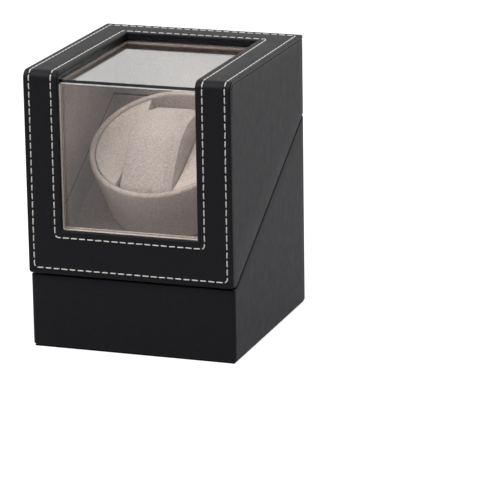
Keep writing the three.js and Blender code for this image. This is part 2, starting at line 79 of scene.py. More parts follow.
DRUM_JOINT = next(j for j in frame["joints"] if j["name"] == "drum_spin")
DRUM_AXIS = Vector(DRUM_JOINT["axis"]).normalized()
DRUM_CENTRE = Vector(DRUM_JOINT["pos_m"])
SLOPE = -DRUM_AXIS.y / DRUM_AXIS.z
SPLIT_AT_ORIGIN = DRUM_CENTRE.z - SLOPE * DRUM_CENTRE.y
SPLIT_HALF_GAP = 0.5 * MM / DRUM_AXIS.z
DRUM = Matrix.Translation(DRUM_CENTRE) @ Matrix((
    (1, 0, 0, 0),
    (0, DRUM_AXIS.z, DRUM_AXIS.y, 0),
    (0, -DRUM_AXIS.y, DRUM_AXIS.z, 0),
    (0, 0, 0, 1),
))

# ---------------------------------------------------------------- mesh helpers


def piece(name, vertices, faces, material, smooth=True):
    mesh = bpy.data.meshes.new(name)
    mesh.from_pydata([tuple(v) for v in vertices], [], faces)
    mesh.validate()
    bm = bmesh.new()
    bm.from_mesh(mesh)
    bmesh.ops.remove_doubles(bm, verts=bm.verts, dist=1e-7)
    bmesh.ops.recalc_face_normals(bm, faces=bm.faces)
    bm.to_mesh(mesh)
    bm.free()
    mesh.polygons.foreach_set("use_smooth", [smooth] * len(mesh.polygons))
    made = bpy.data.objects.new(name, mesh)
    SCENE.collection.objects.link(made)
    mesh.materials.append(material)
    return made


def settle(made, body, slot, *nodes):
    """The finished piece rides on its body and stands for its CAD nodes; the slot is not used."""
    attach(made, body)
    if nodes:
        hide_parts(*nodes)


def sharpen(made, degrees=35):
    made.data.set_sharp_from_angle(angle=math.radians(degrees))


def apply_modifiers(made):
    bpy.context.view_layer.update()
    graph = bpy.context.evaluated_depsgraph_get()
    mesh = bpy.data.meshes.new_from_object(made.evaluated_get(graph))
    made.modifiers.clear()
    made.data = mesh


def carve(made, cutter):
    """Cuts one closed mesh out of another and removes the cutter."""
    modifier = made.modifiers.new("carve", "BOOLEAN")
    modifier.operation = "DIFFERENCE"
    modifier.solver = "EXACT"
    modifier.object = cutter
    apply_modifiers(made)
    bpy.data.objects.remove(cutter)


def block(x0, x1, y0, y1, z0, z1):
    """A closed box, used only as a cutter or a start for other shapes."""
    corners = [(x, y, z) for x in (x0, x1) for y in (y0, y1) for z in (z0, z1)]
    faces = [(0, 1, 3, 2), (4, 6, 7, 5), (0, 4, 5, 1), (2, 3, 7, 6), (0, 2, 6, 4), (1, 5, 7, 3)]
    return piece("block", corners, faces, None, smooth=False)


def loft(rings, closed_path=False):
    """Vertices and faces of a closed tube through equal rings of points."""
    count = len(rings[0])
    vertices = [p for ring in rings for p in ring]
    faces = []
    last = len(rings) if closed_path else len(rings) - 1
    for i in range(last):
        a, b = i * count, ((i + 1) % len(rings)) * count
        for k in range(count):
            n = (k + 1) % count
            faces.append((a + k, a + n, b + n, b + k))
    if not closed_path:
        faces.append(tuple(range(count - 1, -1, -1)))
        faces.append(tuple(range(len(vertices) - count, len(vertices))))
    return vertices, faces


def revolve(profile, sides=128):
    """A closed profile of (radius, height) turned about Z. Points on the axis are shared."""
    vertices, faces, rows = [], [], []
    for radius, height in profile:
        if radius < 1e-9:
            rows.append([len(vertices)] * sides)
            vertices.append(Vector((0, 0, height)))
            continue
        rows.append(list(range(len(vertices), len(vertices) + sides)))
        for i in range(sides):
            a = 2 * math.pi * i / sides
            vertices.append(Vector((radius * math.cos(a), radius * math.sin(a), height)))
    on_axis = profile[0][0] < 1e-9 and profile[-1][0] < 1e-9
    pairs = list(zip(rows, rows[1:])) + ([] if on_axis else [(rows[-1], rows[0])])
    for low, high in pairs:
        for i in range(sides):
            n = (i + 1) % sides
            corners = dict.fromkeys((low[i], low[n], high[n], high[i]))
            if len(corners) > 2:
                faces.append(tuple(corners))
    return vertices, faces


def arc(cx, cy, radius, start, end, steps):
    """Points of an arc in degrees, both ends included."""
    angles = [math.radians(start + (end - start) * i / steps) for i in range(steps + 1)]
    return [(cx + radius * math.cos(a), cy + radius * math.sin(a)) for a in angles]


def split(y, side):
    """Height of the base's upper edge (side -1) or of the lid's lower edge (side 1) at depth y."""
    return SPLIT_AT_ORIGIN + SLOPE * y + side * SPLIT_HALF_GAP


# ---------------------------------------------------------------- materials


class Nodes:
    """A Principled material with short calls for the nodes that drive it."""

    def __init__(self, name):
        self.material = bpy.data.materials.new(name)
        self.material.use_nodes = True
        self.tree = self.material.node_tree
        self.shader = self.tree.nodes["Principled BSDF"]
        self.place = self.add("ShaderNodeTexCoord").outputs["Object"]

    def add(self, kind, **settings):
        node = self.tree.nodes.new(kind)
        for key, value in settings.items():
            setattr(node, key, value)
        return node

    def link(self, output, target):
        self.tree.links.new(output, target)

    def fix(self, **values):
        for key, value in values.items():
            self.shader.inputs[key.replace("_", " ")].default_value = value

    def noise(self, scale, detail=3, roughness=0.5, stretch=None):
        node = self.add("ShaderNodeTexNoise")
        node.inputs["Scale"].default_value = scale
        node.inputs["Detail"].default_value = detail
        node.inputs["Roughness"].default_value = roughness
        self.link(self.stretched(stretch), node.inputs["Vector"])
        return node.outputs["Fac"]

    def cells(self, scale, feature="F1"):
        node = self.add("ShaderNodeTexVoronoi", feature=feature)
        node.inputs["Scale"].default_value = scale
        self.link(self.place, node.inputs["Vector"])
        return node.outputs["Distance"]

    def stretched(self, stretch):
        if stretch is None:
            return self.place
        node = self.add("ShaderNodeMapping")
        node.inputs["Scale"].default_value = stretch
        self.link(self.place, node.inputs["Vector"])
        return node.outputs["Vector"]

    def ramp(self, factor, low, high, start=0.3, end=0.7):
        """A colour or grey between low and high as factor goes from start to end."""
        node = self.add("ShaderNodeValToRGB")
        for element, at, value in zip(node.color_ramp.elements, (start, end), (low, high)):
            element.position = at
            element.color = (*value, 1) if hasattr(value, "__len__") else (value, value, value, 1)
        self.link(factor, node.inputs["Fac"])
        return node.outputs["Color"]

    def mix(self, factor, a, b, blend="MIX"):
        node = self.add("ShaderNodeMix", data_type="RGBA", blend_type=blend)
        if isinstance(factor, (int, float)):
            node.inputs[0].default_value = factor
        else:
            self.link(factor, node.inputs[0])
        for value, socket in ((a, node.inputs[6]), (b, node.inputs[7])):
            if hasattr(value, "is_linked"):
                self.link(value, socket)
            else:
                socket.default_value = (*value, 1)
        return node.outputs[2]

    def bump(self, height, depth, strength=1.0, under=None):
        node = self.add("ShaderNodeBump")
        node.inputs["Strength"].default_value = strength
        node.inputs["Distance"].default_value = depth
        self.link(height, node.inputs["Height"])
        if under is not None:
            self.link(under, node.inputs["Normal"])
        return node.outputs["Normal"]

    def colour(self, output):
        self.link(output, self.shader.inputs["Base Color"])

    def rough(self, output):
        self.link(output, self.shader.inputs["Roughness"])

    def normal(self, output):
        self.link(output, self.shader.inputs["Normal"])


def leather():
    """Black artificial leather: pebbled grain with fine pores and a satin finish."""
    m = Nodes("black_leather")
    m.fix(Specular_IOR_Level=0.17)
    m.colour(m.ramp(m.noise(300, 4), (0.0062, 0.0063, 0.0084), (0.0080, 0.0081, 0.0106)))
    m.rough(m.ramp(m.noise(160, 4), 0.44, 0.50))
    pebble = m.cells(1150, "SMOOTH_F1")
    pores = m.noise(5200, 2)
    creases = m.noise(330, 5, 0.62)
    fine = m.bump(pores, 0.03 * MM, 0.5)
    mid = m.bump(creases, 0.12 * MM, 0.45, fine)
    m.normal(m.bump(pebble, 0.07 * MM, 0.75, mid))
    return m.material


def velvet(name, light, dark, nap=1.0):
    """Short-pile velvet: soft mottled nap, a pale sheen and no gloss."""
    m = Nodes(name)
    m.fix(Roughness=0.95, Specular_IOR_Level=0.12, Sheen_Weight=0.35, Sheen_Roughness=0.45)
    m.shader.inputs["Sheen Tint"].default_value = (0.93, 0.86, 0.82, 1)
    broad = m.ramp(m.noise(55, 4, 0.6), dark, light, 0.25, 0.72)
    pile = m.ramp(m.noise(900, 4, 0.75), (0.66, 0.65, 0.65), (1.14, 1.14, 1.14), 0.34, 0.66)
    m.colour(m.mix(0.9, broad, pile, "MULTIPLY"))
    fibres = m.bump(m.noise(2400, 3, 0.7), 0.25 * MM * nap, 0.7)
    m.normal(m.bump(m.noise(680, 4, 0.6), 0.9 * MM * nap, 0.9, fibres))
    return m.material


def felt():
    m = Nodes("black_felt_and_shade")
    m.fix(Specular_IOR_Level=0.15, Sheen_Weight=0.25, Roughness=1.0)
    m.colour(m.ramp(m.noise(1800, 4, 0.7), (0.006, 0.006, 0.006), (0.02, 0.02, 0.021)))
    m.normal(m.bump(m.noise(2400, 3, 0.7), 0.15 * MM, 0.8))
    return m.material


def thread():
    """Off-white waxed thread, its twist seen as slanting ridges."""
    m = Nodes("white_thread")
    m.fix(Specular_IOR_Level=0.3, Sheen_Weight=0.2)
    m.colour(m.ramp(m.noise(700, 3), (0.74, 0.72, 0.67), (0.88, 0.86, 0.81)))
    m.rough(m.ramp(m.noise(400, 2), 0.55, 0.75))
    twist = m.add("ShaderNodeTexWave", bands_direction="DIAGONAL")
    twist.inputs["Scale"].default_value = 900
    twist.inputs["Distortion"].default_value = 1.5
    m.link(m.place, twist.inputs["Vector"])
    m.normal(m.bump(twist.outputs["Fac"], 0.09 * MM, 0.6))
    return m.material


def acrylic():
    """Clear acrylic that lets lamps light what is behind it."""
    m = Nodes("clear_acrylic")
    m.fix(Transmission_Weight=1.0, IOR=1.49)
    m.shader.inputs["Base Color"].default_value = (0.975, 0.985, 0.98, 1)
    m.rough(m.ramp(m.noise(35, 3), 0.0, 0.025, 0.45, 0.8))
    clear = m.add("ShaderNodeBsdfTransparent")
    clear.inputs["Color"].default_value = (0.95, 0.96, 0.955, 1)
    path = m.add("ShaderNodeLightPath")
    blend = m.add("ShaderNodeMixShader")
    m.link(path.outputs["Is Shadow Ray"], blend.inputs[0])
    m.link(m.shader.outputs[0], blend.inputs[1])
    m.link(clear.outputs[0], blend.inputs[2])
    m.link(blend.outputs[0], m.tree.nodes["Material Output"].inputs["Surface"])
    return m.material


def metal(name, low, high, rough_low, rough_high, stretch=None, grain=0.01):
    """Bare or plated metal with faint handling marks and drawn or turned lines."""
    m = Nodes(name)
    m.fix(Metallic=1.0)
    m.colour(m.ramp(m.noise(140, 4), low, high))
    m.rough(m.ramp(m.noise(420, 4, 0.6, stretch), rough_low, rough_high))
    m.normal(m.bump(m.noise(2500, 2, 0.5, stretch), grain * MM, 0.35))
    return m.material


def plastic(name, low, high, rough_low, rough_high):
    """Moulded plastic with a fine spark-eroded surface."""
    m = Nodes(name)
    m.fix(Specular_IOR_Level=0.45)
    m.colour(m.ramp(m.noise(120, 3), low, high))
    m.rough(m.ramp(m.noise(250, 3), rough_low, rough_high))
    m.normal(m.bump(m.noise(3600, 2), 0.02 * MM, 0.5))
    return m.material


def circuit():
    """Green solder mask with tracks running both ways and tinned pads."""
    m = Nodes("solder_mask")
    m.fix(Specular_IOR_Level=0.5)
    base = m.ramp(m.noise(160, 3), (0.012, 0.11, 0.045), (0.02, 0.16, 0.065))
    tracks = m.add("ShaderNodeTexBrick")
    tracks.inputs["Scale"].default_value = 130
    tracks.inputs["Mortar Size"].default_value = 0.035
    turned = m.add("ShaderNodeMapping")
    turned.inputs["Rotation"].default_value = (math.pi / 2, 0, 0)
    m.link(m.place, turned.inputs["Vector"])
    m.link(turned.outputs["Vector"], tracks.inputs["Vector"])
    with_tracks = m.mix(tracks.outputs["Fac"], base, (0.05, 0.24, 0.10))
    pads = m.ramp(m.cells(210), 1.0, 0.0, 0.16, 0.2)
    m.colour(m.mix(pads, with_tracks, (0.55, 0.54, 0.5)))
    m.rough(m.ramp(m.noise(90, 2), 0.25, 0.4))
    m.normal(m.bump(tracks.outputs["Fac"], 0.03 * MM, 0.6))
    return m.material


def cement():
    """Acrylic cement, milky where it filled the corner; its pale colour also paints a bright glint."""
    m = Nodes("acrylic_bead_and_glint")
    m.fix(Specular_IOR_Level=0.5, Transmission_Weight=0.25, IOR=1.49)
    m.colour(m.ramp(m.noise(220, 3), (0.78, 0.78, 0.77), (0.92, 0.92, 0.91)))
    m.rough(m.ramp(m.noise(90, 2), 0.2, 0.4))
    return m.material


FLOOR_SEEN = (0.84, 0.84, 0.84)
FLOOR_REFLECTED = (0.40, 0.40, 0.42)


def floor_white():
    """Pale board that glows white to the camera, less to reflections and not to diffuse light."""
    m = Nodes("pale_floor")
    m.fix(Roughness=0.9, Specular_IOR_Level=0.1)
    m.colour(m.ramp(m.noise(6, 2), (0.34, 0.34, 0.34), (0.36, 0.36, 0.36)))
    m.fix(Emission_Strength=1.0)
    path = m.add("ShaderNodeLightPath")
    mirrored = m.mix(path.outputs["Is Glossy Ray"], (0, 0, 0), FLOOR_REFLECTED)
    glow = m.mix(path.outputs["Is Camera Ray"], mirrored, FLOOR_SEEN)
    m.link(glow, m.shader.inputs["Emission Color"])
    return m.material


LEATHER = leather()
VELVET = velvet("beige_velvet", (0.64, 0.515, 0.455), (0.53, 0.425, 0.375))
# painted shade: the linings' velvet is a darker copy of the same beige velvet, for the shade inside the box
SHADED_LINING_VELVET = velvet("lining_velvet_painted_shade", (0.52, 0.415, 0.375), (0.43, 0.34, 0.31))
# painted light: the insert's velvet is a lighter copy of the same beige velvet, adding light to the insert
LIT_INSERT_VELVET = velvet("insert_velvet_painted_light", (0.73, 0.60, 0.53), (0.62, 0.51, 0.45))
PILLOW_VELVET = velvet("pillow_velvet", (0.605, 0.50, 0.45), (0.525, 0.43, 0.385), 1.25)
# painted highlight: a pale copy of the velvet for the glint round the window
GLINT_EDGING = velvet("pale_painted_glint", (0.80, 0.72, 0.67), (0.70, 0.62, 0.57), 0.6)
# the cement's pale colour also paints the glint along the panes' joint
CEMENT_AND_GLINT = cement()
# black felt for the bottom; the same black fills the lining gaps as painted shade
FELT_AND_SHADE = felt()
THREAD = thread()
ACRYLIC = acrylic()
NICKEL = metal("nickel_plate", (0.60, 0.585, 0.55), (0.72, 0.705, 0.67), 0.14, 0.30)
STEEL = metal("zinc_steel", (0.46, 0.47, 0.48), (0.60, 0.61, 0.62), 0.25, 0.45, (1, 1, 9), 0.02)
BRASS = metal("turned_brass", (0.58, 0.38, 0.14), (0.74, 0.52, 0.22), 0.2, 0.36, (1, 1, 7))
BLACK_PLASTIC = plastic("black_plastic", (0.011, 0.011, 0.012), (0.018, 0.018, 0.019), 0.35, 0.5)
NYLON = plastic("natural_nylon", (0.66, 0.63, 0.54), (0.78, 0.75, 0.66), 0.4, 0.55)
RED_WIRE = plastic("red_insulation", (0.38, 0.012, 0.012), (0.5, 0.02, 0.02), 0.35, 0.5)
BLACK_WIRE = plastic("black_insulation", (0.01, 0.01, 0.01), (0.016, 0.016, 0.016), 0.35, 0.5)
CIRCUIT = circuit()

# ---------------------------------------------------------------- CAD nodes that keep their shape


def smooth_shading():
    """Modifier nodes that drop the imported normals and shade every face smooth."""
    group = bpy.data.node_groups.new("smooth_shading", "GeometryNodeTree")
    for direction in ("INPUT", "OUTPUT"):
        group.interface.new_socket("Geometry", in_out=direction, socket_type="NodeSocketGeometry")
    entry, plain, smooth, leave = (group.nodes.new(kind) for kind in (
        "NodeGroupInput", "GeometryNodeRemoveAttribute", "GeometryNodeSetShadeSmooth", "NodeGroupOutput"))
    plain.inputs["Name"].default_value = "custom_normal"
    for source, target in ((entry, plain), (plain, smooth), (smooth, leave)):
        group.links.new(source.outputs[0], target.inputs[0])
    return group


SMOOTH_SHADING = smooth_shading()


def dress(node, material, edge=0.3, segments=3):
    """Gives a CAD node its material, softened edges and smooth shading, with its mesh untouched."""
    made = frame["nodes"][node]
    made.material_slots[0].material = material
    made.modifiers.new("smooth", "NODES").node_group = SMOOTH_SHADING
    weld = made.modifiers.new("weld", "WELD")
    weld.merge_threshold = 1e-6
    if edge:
        bevel = made.modifiers.new("edge", "BEVEL")
        bevel.width = edge * MM
        bevel.segments = segments
        bevel.limit_method = "ANGLE"
        bevel.angle_limit = math.radians(32)
        bevel.use_clamp_overlap = True
    weighted = made.modifiers.new("shade", "WEIGHTED_NORMAL")
    weighted.keep_sharp = True


def dress_frame():
    for node in ("lid_front_board", "lid_top_board"):
        dress(node, LEATHER, 0.55)
    dress("bottom_panel", LEATHER, 0.4)
    dress("bottom_felt", FELT_AND_SHADE, 0.25)
    for node in ("deck_panel", "base_lip_left", "base_lip_right", "base_lip_front", "base_lip_back"):
        dress(node, SHADED_LINING_VELVET, 0.45)
    for node in ("lid_lining_left", "lid_lining_right", "lid_lining_back"):
        dress(node, SHADED_LINING_VELVET, 0.35)
    for node in ("front_pane_retainer", "top_pane_retainer"):
        dress(node, VELVET, 0.4)
    for node in ("front_pane", "top_pane"):
        dress(node, ACRYLIC, 0.25, 2)
    for side in ("left", "right"):
        for half in ("base", "lid"):
            dress(f"hinge_leaf_{half}_{side}", NICKEL, 0.12, 2)
        dress(f"hinge_pin_{side}", STEEL, 0.15, 2)
    for node in ("shaft_clip", "gearbox", "motor_can", "motor_bracket", "dc_jack_nut"):
        dress(node, STEEL, 0.2, 2)
    for node in ("bracket_screw_1", "bracket_screw_2"):
        dress(node, STEEL, 0.15, 2)
    for node in ("deck_bush", "motor_pinion"):
        dress(node, BRASS, 0.08, 2)
    dress("drum_gear", NYLON, 0.08, 2)
    dress("drum_hub", BLACK_PLASTIC, 0.4)
    dress("dc_jack", BLACK_PLASTIC, 0.2)
    dress("mode_switch_body", BLACK_PLASTIC, 0.35)
    dress("mode_switch_knob", BLACK_PLASTIC, 0.3)
    dress("circuit_board", CIRCUIT, 0.1, 1)
    dress("motor_lead_red", RED_WIRE, 0)
    dress("motor_lead_black", BLACK_WIRE, 0)


# ---------------------------------------------------------------- leather facing of the lid

FRONT_RUN = TOP - FACING_BEND - FACING_FOOT
ARC_RUN = FACING_BEND * math.pi / 2
TOP_RUN = BACK - FACING_FRONT - FACING_BEND
RUN = FRONT_RUN + ARC_RUN + TOP_RUN
WINDOW_START = WINDOW_FOOT - FACING_FOOT
WINDOW_END = RUN - (BACK - WINDOW_BACK)
OUTER_SEAM = 3.5 * MM
INNER_SEAM = 4.2 * MM
CORNER = 2.0 * MM


def facing_point(x, s, lift):
    """A point `lift` outside the facing's outer surface, s along it from the lower edge."""
    if s < FRONT_RUN:
        return Vector((x, FACING_FRONT - lift, FACING_FOOT + s))
    if s > FRONT_RUN + ARC_RUN:
        return Vector((x, FACING_FRONT + FACING_BEND + s - FRONT_RUN - ARC_RUN, TOP + lift))
    a = (s - FRONT_RUN) / FACING_BEND
    radius = FACING_BEND + lift
    return Vector((x, FACING_FRONT + FACING_BEND - radius * math.cos(a),
                   TOP - FACING_BEND + radius * math.sin(a)))


def box_distance(x, s, half, start, end):
    """Distance outside the rectangle |x| < half, start < s < end; negative inside."""
    dx, ds = abs(x) - half, max(start - s, s - end)
    if dx > 0 and ds > 0:
        return math.hypot(dx, ds)
    return max(dx, ds)


def seam_gap(x, s):
    """Distance to the nearer of the two stitched lines."""
    outer = box_distance(x, s, SIDE - OUTER_SEAM, OUTER_SEAM, RUN - OUTER_SEAM)
    inner = box_distance(x, s, WINDOW_HALF + INNER_SEAM,
                         WINDOW_START - INNER_SEAM, WINDOW_END + INNER_SEAM)
    return min(abs(outer), abs(inner))


def facing_lift(x, s):
    """Relief of the padded leather: rolled edges, sunken stitch lines, slight fullness between."""
    edge = min(-box_distance(x, s, SIDE, 0, RUN),
               box_distance(x, s, WINDOW_HALF, WINDOW_START, WINDOW_END))
    roll = 0.85 * MM
    lift = 0.0
    if edge < roll:
        lift -= roll - math.sqrt(max(0.0, roll ** 2 - (roll - max(edge, 0)) ** 2))
    seam = seam_gap(x, s)
    lift -= 0.24 * MM * math.exp(-((seam / (0.75 * MM)) ** 2))
    lift += 0.14 * MM * (1 - math.exp(-((seam / (3 * MM)) ** 2)))
    wander = noise.noise(Vector((x * 60, s * 60, 1.7)))
    return lift + 0.05 * MM * wander


def stations(stops, edges, seams, step):
    """Sorted grid lines: tight at rolled edges and seams, `step` apart elsewhere."""
    lines = set(stops)
    for at, inward in edges:
        lines.update(at + inward * d * MM for d in (0, 0.1, 0.28, 0.55, 0.9, 1.4))
    for at in seams:
        lines.update(at + d * MM for d in (-1.6, -1.0, -0.6, -0.3, 0, 0.3, 0.6, 1.0, 1.6))
    low, high = min(stops), max(stops)
    kept = [low]
    for value in sorted(v for v in lines if low < v <= high):
        gap = value - kept[-1]
        if gap < 0.08 * MM:
            continue
        parts = math.ceil(gap / step - 1e-6)
        start = kept[-1]
        kept.extend(start + gap * i / parts for i in range(1, parts + 1))
    return kept


def rounded(x, s):
    """Pulls the panel's square corners in to a radius."""
    dx, low, high = SIDE - abs(x), s, RUN - s
    ds = min(low, high)
    u, v = max(0, CORNER - dx) / CORNER, max(0, CORNER - ds) / CORNER
    if not (u and v):
        return x, s
    u, v = u * math.sqrt(1 - v * v / 2), v * math.sqrt(1 - u * u / 2)
    x = math.copysign(SIDE - CORNER + u * CORNER, x)
    return x, (CORNER - v * CORNER if low < high else RUN - CORNER + v * CORNER)


def make_facing():
    xs = stations((-SIDE, SIDE),
                  [(-SIDE, 1), (SIDE, -1), (-WINDOW_HALF, -1), (WINDOW_HALF, 1)],
                  [k * w for k in (-1, 1) for w in (SIDE - OUTER_SEAM, WINDOW_HALF + INNER_SEAM)],
                  3 * MM)
    bend = [FRONT_RUN + ARC_RUN * i / 12 for i in range(13)]
    ss = stations((0, RUN, *bend),
                  [(0, 1), (RUN, -1), (WINDOW_START, -1), (WINDOW_END, 1)],
                  [OUTER_SEAM, RUN - OUTER_SEAM, WINDOW_START - INNER_SEAM,
                   WINDOW_END + INNER_SEAM], 3 * MM)
    vertices, outer, inner = [], {}, {}
    for i, x in enumerate(xs):
        for j, s in enumerate(ss):
            px, ps = rounded(x, s)
            outer[i, j] = len(vertices)
            vertices.append(facing_point(px, ps, facing_lift(x, s)))
            inner[i, j] = len(vertices)
            vertices.append(facing_point(px, ps, -FACING))
    cells = set()
    for i in range(len(xs) - 1):
        for j in range(len(ss) - 1):
            x, s = (xs[i] + xs[i + 1]) / 2, (ss[j] + ss[j + 1]) / 2
            if box_distance(x, s, WINDOW_HALF, WINDOW_START, WINDOW_END) > 0:
                cells.add((i, j))
    faces = []
    for i, j in cells:
        ring = ((i, j), (i + 1, j), (i + 1, j + 1), (i, j + 1))
        faces.append(tuple(outer[c] for c in ring))
        faces.append(tuple(inner[c] for c in reversed(ring)))
        steps = ((0, -1, 0), (1, 0, 1), (0, 1, 2), (-1, 0, 3))
        for di, dj, k in steps:
            if (i + di, j + dj) not in cells:
                a, b = ring[k], ring[(k + 1) % 4]
                faces.append((outer[b], outer[a], inner[a], inner[b]))
    used = sorted({v for f in faces for v in f})
    renumber = {v: k for k, v in enumerate(used)}
    made = piece("facing_leather", [vertices[v] for v in used],
                 [tuple(renumber[v] for v in f) for f in faces], LEATHER)
    sharpen(made, 50)
    settle(made, "lid", "leather_black", "lid_facing")


def seam_path(half, start, end, radius):
    """Points (x, s) of a rectangle with round corners, closed, about 0.25 mm apart."""
    corners = [(half, start, -90), (half, end, 0), (-half, end, 90), (-half, start, 180)]
    points = []
    for x, s, angle in corners:
        cx = x - math.copysign(radius, x)
        cs = s + radius if s == start else s - radius
        points += arc(cx, cs, radius, angle, angle + 90, 6)
    points.append(points[0])
    fine = []
    for (x0, s0), (x1, s1) in zip(points, points[1:]):
        parts = max(1, round(math.hypot(x1 - x0, s1 - s0) / (0.25 * MM)))
        fine += [(x0 + (x1 - x0) * k / parts, s0 + (s1 - s0) * k / parts) for k in range(parts)]
    return fine


def make_stitches(name, half, start, end, seed):
    """One line of thread: each stitch rises from its hole, lies flat and sinks again."""
    rng = random.Random(seed)
    path = seam_path(half, start, end, 2.2 * MM)
    lengths = [0.0]
    for (x0, s0), (x1, s1) in zip(path, path[1:] + path[:1]):
        lengths.append(lengths[-1] + math.hypot(x1 - x0, s1 - s0))
    total = lengths[-1]
    count = round(total / (5.0 * MM))
    pitch = total / count

    def at(distance):
        distance %= total
        i = int(np.searchsorted(lengths, distance, side="right")) - 1
        (x0, s0), (x1, s1) = path[i], path[(i + 1) % len(path)]
        t = (distance - lengths[i]) / max(lengths[i + 1] - lengths[i], 1e-12)
        return x0 + (x1 - x0) * t, s0 + (s1 - s0) * t

    vertices, faces = [], []
    sides, steps = 8, 10
    for k in range(count):
        middle = (k + 0.5) * pitch
        reach = (2.05 + rng.uniform(-0.12, 0.12)) * MM
        skew = rng.uniform(-0.10, 0.10) * MM
        rings = []
        for i in range(steps + 1):
            t = 2 * i / steps - 1
            x, s = at(middle + reach * t)
            body = max(0.0, 1 - abs(t) ** 5)
            radius = (0.08 + 0.30 * math.sqrt(body)) * MM
            lift = facing_lift(x, s) + (0.22 * math.sqrt(body) - 0.12) * MM
            x0, s0 = at(middle + reach * t - 0.2 * MM)
            x1, s1 = at(middle + reach * t + 0.2 * MM)
            centre = facing_point(x, s, lift)
            along = (facing_point(x1, s1, lift) - facing_point(x0, s0, lift)).normalized()
            out = (facing_point(x, s, lift + MM) - centre).normalized()
            across = along.cross(out).normalized()
            centre = centre + across * skew * t
            rings.append([centre + (across * math.cos(a) + out * math.sin(a) * 0.85) * radius
                          for a in (2 * math.pi * n / sides for n in range(sides))])
        new, quads = loft(rings)
        offset = len(vertices)
        vertices += new
        faces += [tuple(v + offset for v in f) for f in quads]
    made = piece(name, vertices, faces, THREAD)
    settle(made, "lid", "leather_black")


# ---------------------------------------------------------------- leather-wrapped boxes


def outline(inset):
    """The box's four round corners at an inset, arcs of (x, y) anticlockwise from the right front."""
    r = max(VERTICAL_CORNER - inset, 0.25 * MM)
    x, y = SIDE - inset, BACK - inset
    corners = [(x - r, -y + r, -90), (x - r, y - r, 0), (-x + r, y - r, 90), (-x + r, -y + r, 180)]
    return [arc(cx, cy, r, angle, angle + 90, 6) for cx, cy, angle in corners]


def ring_stations(inset):
    """The outline with each straight wall divided in the same way at every inset."""
    corners = outline(inset)
    points = []
    for k, corner in enumerate(corners):
        points += corner
        (x0, y0), (x1, y1) = corner[-1], corners[(k + 1) % 4][0]
        points += [(x0 + (x1 - x0) * t, y0 + (y1 - y0) * t) for t in WALL_STOPS[k]]
    return points


def spaced(count):
    return [i / count for i in range(1, count)]


# The side walls bend where the slope meets the flat front edge, so stops crowd there
SIDE_STOPS = sorted(set([0.004, 0.008, 0.014, 0.02, 0.03, 0.04, 0.05] + spaced(24)))
BACK_STOPS = sorted(set([0.012, 0.02, 0.03, 0.97, 0.98, 0.988] + spaced(20)))
WALL_STOPS = [SIDE_STOPS, BACK_STOPS, [1 - t for t in reversed(SIDE_STOPS)], spaced(10)]
VERTICAL_CORNER = 2.4 * MM


def hinge_groove(x, y):
    """How far the edge drops away beside the hinge barrels, along the back only."""
    depth = max(0.0, y - (BACK - 2.2 * MM)) * 1.15
    ends = min(1.0, max(0.0, (SIDE - BOARD - abs(x)) / (1.5 * MM)))
    return depth * ends


def base_top(x, y):
    return max(BASE_FRONT_TOP, split(y, -1)) - hinge_groove(x, y)


def soft_wave(x, y, z, size):
    """The slight unevenness of leather glued over board."""
    return size * noise.noise(Vector((x * 45, y * 45, z * 45)))


def make_base_shell():
    roll, lip = 1.1 * MM, 0.9 * MM
    foot = arc(roll, roll, roll, 270, 180, 4)
    head = [(i, -h) for i, h in arc(lip, lip, lip, 180, 270, 4)]
    heights = [0.15, 0.35, 0.55, 0.75, 0.9]
    rows = [(i, ("foot", h)) for i, h in foot]
    rows += [(0.0, ("share", t)) for t in heights]
    rows += [(i, ("head", h)) for i, h in head]
    rows += [(BOARD - 0.5 * MM, ("head", 0.0)), (BOARD, ("head", -0.5 * MM)), (BOARD, ("foot", 0.0))]
    rings = []
    for inset, (kind, value) in rows:
        ring = []
        for x, y in ring_stations(inset):
            top = base_top(x, y)
            z = {"foot": FOOT + value, "head": top + value,
                 "share": FOOT + roll + (top - FOOT - roll - lip) * value}[kind]
            out = soft_wave(x, y, z, 0.025 * MM) if inset == 0 else 0.0
            scale = 1 + out / SIDE
            ring.append(Vector((x * scale, y * scale, z)))
        rings.append(ring)
    vertices, faces = loft(rings, closed_path=True)
    made = piece("base_leather", vertices, faces, LEATHER)
    jack_lo, jack_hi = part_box("dc_jack")
    jack = (jack_lo + jack_hi) / 2
    hole, hole_faces = revolve([(0, -8 * MM), (4.3 * MM, -8 * MM), (4.3 * MM, 3 * MM), (0, 3 * MM)], 40)
    turn = Matrix.Translation((jack.x, BACK, jack.z)) @ Matrix.Rotation(-math.pi / 2, 4, "X")
    carve(made, piece("cutter", [turn @ v for v in hole], hole_faces, None))
    switch_lo, switch_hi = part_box("mode_switch_body")
    middle = (switch_lo + switch_hi) / 2
    carve(made, block(middle.x - 7.3 * MM, middle.x + 7.3 * MM, BACK - 8 * MM, BACK + 3 * MM,
                      middle.z - 3.8 * MM, middle.z + 3.8 * MM))
    sharpen(made, 40)
    settle(made, "base", "leather_black",
           "base_front_wall", "base_left_wall", "base_right_wall", "base_back_wall")


def lid_foot(x, y):
    return max(FACING_FOOT, split(y, 1)) + hinge_groove(x, y) * 1.2


def lid_top(y):
    return WALL_TOP - max(0.0, -(BACK - 2.2 * MM) - y)


